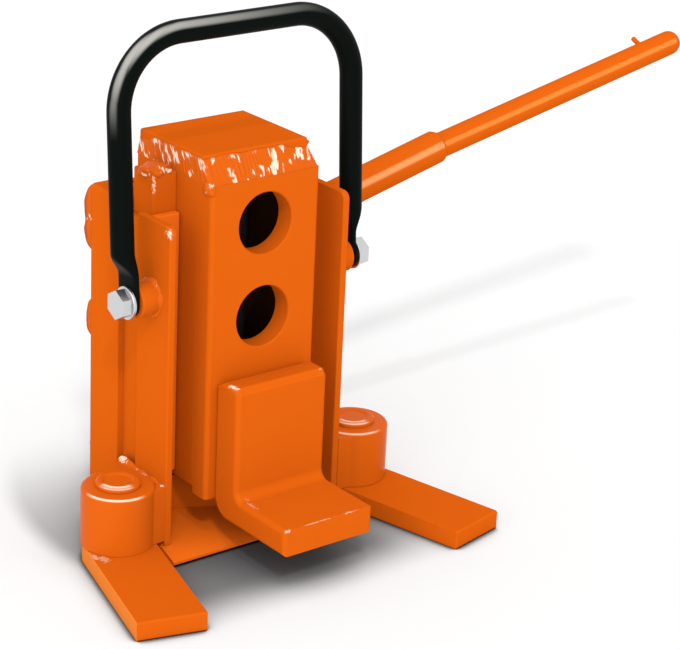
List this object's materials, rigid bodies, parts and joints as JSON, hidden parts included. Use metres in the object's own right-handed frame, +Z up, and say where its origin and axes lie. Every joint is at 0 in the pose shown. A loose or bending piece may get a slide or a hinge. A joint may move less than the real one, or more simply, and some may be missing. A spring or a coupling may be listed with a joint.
{
  "type": "hydraulic toe jack",
  "caption": "Hydraulic toe jack: a lifting box with a hook-on toe in a welded frame, swinging feet, carrying bail and hand pump lever.",
  "frame": {"origin": "on the ground under the axis of the ram, in the middle of the underside of the base plate", "axes": "+Z up, -Y towards the toe, +X towards the lever"},
  "size_m": [0.8776, 0.3333, 0.4838],
  "materials": {
    "orange_paint": "glossy orange enamel",
    "black_paint": "semi-gloss black enamel",
    "zinc_plate": "bright zinc",
    "ground_steel": "ground and hard chromed",
    "blackened_steel": "blackened, satin"
  },
  "bodies": {
    "frame": {"base_plate": "orange_paint", "cheek_left": "orange_paint", "cheek_right": "orange_paint", "guide_bar_left": "orange_paint", "guide_bar_right": "orange_paint", "liner_left": "orange_paint", "liner_right": "orange_paint", "post_left": "orange_paint", "post_right": "orange_paint", "rear_web": "orange_paint", "bail_boss_left": "orange_paint", "bail_boss_right": "orange_paint", "pivot_housing_left": "orange_paint", "pivot_housing_right": "orange_paint", "foot_pin_left": "orange_paint", "foot_pin_right": "orange_paint", "bail_bolts": "zinc_plate", "bail_washers": "zinc_plate", "ram_block": "orange_paint", "block_screws": "zinc_plate", "oil_jacket": "blackened_steel", "ram_cylinder": "blackened_steel", "ram_gland": "blackened_steel", "lever_bracket": "orange_paint", "fulcrum_pin": "zinc_plate", "pump_cylinder": "blackened_steel", "valve_plugs": "zinc_plate", "filler_plug": "zinc_plate"},
    "box": {"box_front": "orange_paint", "box_channel": "orange_paint", "wing_left": "orange_paint", "wing_right": "orange_paint", "head_plate": "orange_paint", "head_bead": "orange_paint", "ram_rod": "ground_steel", "ram_seat": "blackened_steel"},
    "toe": {"toe_claw": "orange_paint", "toe_stud": "orange_paint"},
    "foot_left_body": {"foot_left": "orange_paint"},
    "foot_right_body": {"foot_right": "orange_paint"},
    "bail": {"bail_tube": "black_paint"},
    "rocker_body": {"rocker": "orange_paint"},
    "lever": {"lever_socket": "orange_paint", "lever_tube": "orange_paint", "lever_cross_pin": "orange_paint"},
    "plunger": {"pump_plunger": "ground_steel", "pump_pin": "zinc_plate"},
    "valve": {"release_valve": "zinc_plate"}
  },
  "joints": [
    {"name": "lift", "type": "slide", "parent": "frame", "child": "box", "axis": [0, 0, 1], "range_m": [0, 0.205]},
    {"name": "toe_play", "type": "slide", "parent": "box", "child": "toe", "axis": [0, 0, 1], "range_m": [0, 0.0105]},
    {"name": "foot_left_swing", "type": "hinge", "parent": "frame", "child": "foot_left_body", "pos_m": [-0.134, -0.047, 0.009], "axis": [0, 0, 1], "range_deg": [-74, 14]},
    {"name": "foot_right_swing", "type": "hinge", "parent": "frame", "child": "foot_right_body", "pos_m": [0.134, -0.047, 0.009], "axis": [0, 0, 1], "range_deg": [-11.5, 77]},
    {"name": "bail_swing", "type": "hinge", "parent": "frame", "child": "bail", "pos_m": [0, -0.0435, 0.245], "axis": [1, 0, 0], "range_deg": [0, 100]},
    {"name": "pump_rock", "type": "hinge", "parent": "frame", "child": "rocker_body", "pos_m": [-0.02, 0.083, 0.1944], "axis": [0, -1, 0], "range_deg": [-16, 21.8]},
    {"name": "lever_pull", "type": "slide", "parent": "rocker_body", "child": "lever", "axis": [0.9707, 0, 0.2402], "range_m": [0, 0.09]},
    {"name": "pump_stroke", "type": "slide", "parent": "frame", "child": "plunger", "axis": [0, 0, 1], "range_m": [-0.009, 0.012]},
    {"name": "valve_turn", "type": "hinge", "parent": "frame", "child": "valve", "pos_m": [-0.028, 0.107, 0.03], "axis": [0, 1, 0], "range_deg": [-90, 90]}
  ],
  "couplings": [
    {"joint": "bail_swing", "follows": "lift", "rad_per_m": 8.3},
    {"joint": "pump_stroke", "follows": "pump_rock", "m_per_rad": 0.0294}
  ]
}
